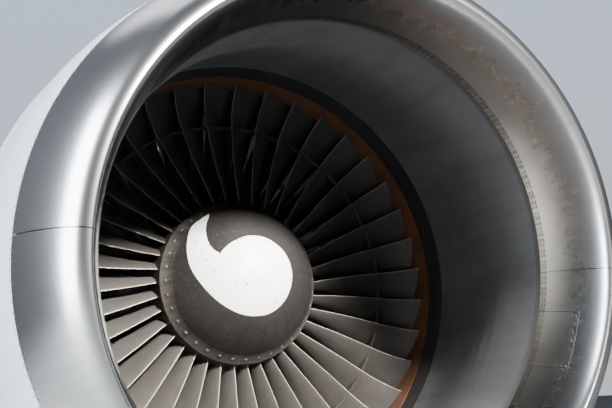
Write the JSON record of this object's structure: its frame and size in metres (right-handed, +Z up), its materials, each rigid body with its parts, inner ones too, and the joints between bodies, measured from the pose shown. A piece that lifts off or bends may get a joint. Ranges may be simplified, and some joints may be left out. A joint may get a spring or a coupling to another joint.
{
  "type": "jet engine",
  "caption": "High-bypass turbofan in its nacelle, with a polished inlet lip, shrouded fan blades, opening cowl doors, hinged reverser halves and an exhaust plug.",
  "frame": {"origin": "centre of the four mount bolt holes in the top face of the mount beam", "axes": "+Z up, out of the mount beam's top face; +Y along the shaft, from the inlet to the exhaust; +X to the right seen from the front"},
  "size_m": [1.9, 3.9333, 1.9509],
  "materials": {
    "polished_lip": "bright polished aluminium with fine scratches and light staining",
    "primer": "matt primer",
    "grey_acoustic_skin": "satin grey paint over perforated acoustic skin",
    "nacelle_paint": "semi-gloss off-white paint",
    "machined_metal": "machined metal",
    "fastener_steel": "plain steel",
    "case_metal": "shot-peened aluminium",
    "black_liner": "matt black composite liner",
    "orange_abradable": "orange-brown abradable compound",
    "vane_metal": "satin titanium",
    "heat_tinted_steel": "heat-tinted nickel alloy",
    "exhaust_metal": "heat-darkened nickel alloy",
    "cast_aluminium": "cast aluminium",
    "accessory_grey": "satin grey enamel",
    "spinner_paint": "worn dark grey paint with a white spiral mark",
    "blade_metal": "satin titanium, dull and slightly brown",
    "latch_metal": "satin aluminium",
    "duct_composite": "satin grey composite"
  },
  "bodies": {
    "root": {"inlet_lip_skin": "polished_lip", "inlet_front_bulkhead": "primer", "inlet_inner_barrel": "grey_acoustic_skin", "inlet_outer_barrel": "nacelle_paint", "inlet_attach_ring": "machined_metal", "inlet_bolts": "fastener_steel", "fan_case": "case_metal", "fan_case_front_liner": "black_liner", "fan_rub_strip": "orange_abradable", "fan_case_aft_liner": "grey_acoustic_skin", "outlet_guide_vanes": "vane_metal", "booster_case": "case_metal", "fan_frame": "machined_metal", "compressor_case": "case_metal", "combustor_case": "heat_tinted_steel", "combustor_liner": "heat_tinted_steel", "fuel_nozzles": "fastener_steel", "turbine_case": "heat_tinted_steel", "turbine_rear_frame": "heat_tinted_steel", "exhaust_nozzle": "exhaust_metal", "exhaust_plug": "exhaust_metal", "fan_bearing": "fastener_steel", "thrust_bearing": "fastener_steel", "turbine_bearing": "fastener_steel", "accessory_gearbox": "cast_aluminium", "starter": "accessory_grey", "generator": "accessory_grey", "fuel_pump": "cast_aluminium", "oil_tank": "accessory_grey", "mount_beam": "primer", "forward_mount": "machined_metal", "aft_mount": "machined_metal"},
    "low_pressure_spool": {"spinner_dome": "spinner_paint", "spinner_rear_cone": "spinner_paint", "balance_screws": "fastener_steel", "fan_disc": "machined_metal", "fan_blades": "blade_metal", "booster_rotor": "vane_metal", "low_pressure_shaft": "machined_metal", "low_pressure_turbine_rotor": "heat_tinted_steel"},
    "high_pressure_spool": {"compressor_rotor": "vane_metal", "high_pressure_turbine_rotor": "heat_tinted_steel"},
    "cowl_left": {"fan_cowl_left": "nacelle_paint"},
    "cowl_right": {"fan_cowl_right": "nacelle_paint"},
    "latch_front": {"cowl_latch_front": "latch_metal"},
    "latch_middle": {"cowl_latch_middle": "latch_metal"},
    "latch_rear": {"cowl_latch_rear": "latch_metal"},
    "oil_door": {"oil_access_door": "nacelle_paint"},
    "duct_left": {"reverser_half_left": "grey_acoustic_skin", "duct_inner_wall_left": "duct_composite", "cascade_left": "cast_aluminium"},
    "duct_right": {"reverser_half_right": "grey_acoustic_skin", "duct_inner_wall_right": "duct_composite", "cascade_right": "cast_aluminium"},
    "sleeve_left": {"sleeve_left": "nacelle_paint"},
    "sleeve_right": {"sleeve_right": "nacelle_paint"}
  },
  "joints": [
    {"name": "low_pressure_spool_spin", "type": "hinge", "parent": "root", "child": "low_pressure_spool", "pos_m": [0, 0, -1], "axis": [0, -1, 0], "continuous": true},
    {"name": "high_pressure_spool_spin", "type": "hinge", "parent": "root", "child": "high_pressure_spool", "pos_m": [0, 0, -1], "axis": [0, -1, 0], "continuous": true},
    {"name": "fan_cowl_left_open", "type": "hinge", "parent": "root", "child": "cowl_left", "pos_m": [-0.098, -0.71, -0.055], "axis": [0, 1, 0], "range_deg": [0, 45]},
    {"name": "fan_cowl_right_open", "type": "hinge", "parent": "root", "child": "cowl_right", "pos_m": [0.098, -0.71, -0.055], "axis": [0, -1, 0], "range_deg": [0, 45]},
    {"name": "reverser_left_open", "type": "hinge", "parent": "root", "child": "duct_left", "pos_m": [-0.098, 0.15, -0.055], "axis": [0, 1, 0], "range_deg": [0, 45]},
    {"name": "reverser_right_open", "type": "hinge", "parent": "root", "child": "duct_right", "pos_m": [0.098, 0.15, -0.055], "axis": [0, -1, 0], "range_deg": [0, 45]},
    {"name": "sleeve_left_slide", "type": "slide", "parent": "duct_left", "child": "sleeve_left", "axis": [0, 1, 0], "range_m": [0, 0.45]},
    {"name": "sleeve_right_slide", "type": "slide", "parent": "duct_right", "child": "sleeve_right", "axis": [0, 1, 0], "range_m": [0, 0.45]},
    {"name": "oil_door_open", "type": "hinge", "parent": "cowl_right", "child": "oil_door", "pos_m": [0.9415, -0.825, -0.93], "axis": [0, -1, 0], "range_deg": [0, 80]},
    {"name": "latch_front_open", "type": "hinge", "parent": "cowl_left", "child": "latch_front", "pos_m": [-0.024, -0.945, -1.944], "axis": [0, -1, 0], "range_deg": [0, 80]},
    {"name": "latch_middle_open", "type": "hinge", "parent": "cowl_left", "child": "latch_middle", "pos_m": [-0.024, -0.71, -1.944], "axis": [0, -1, 0], "range_deg": [0, 80]},
    {"name": "latch_rear_open", "type": "hinge", "parent": "cowl_left", "child": "latch_rear", "pos_m": [-0.024, -0.42, -1.944], "axis": [0, -1, 0], "range_deg": [0, 80]}
  ]
}
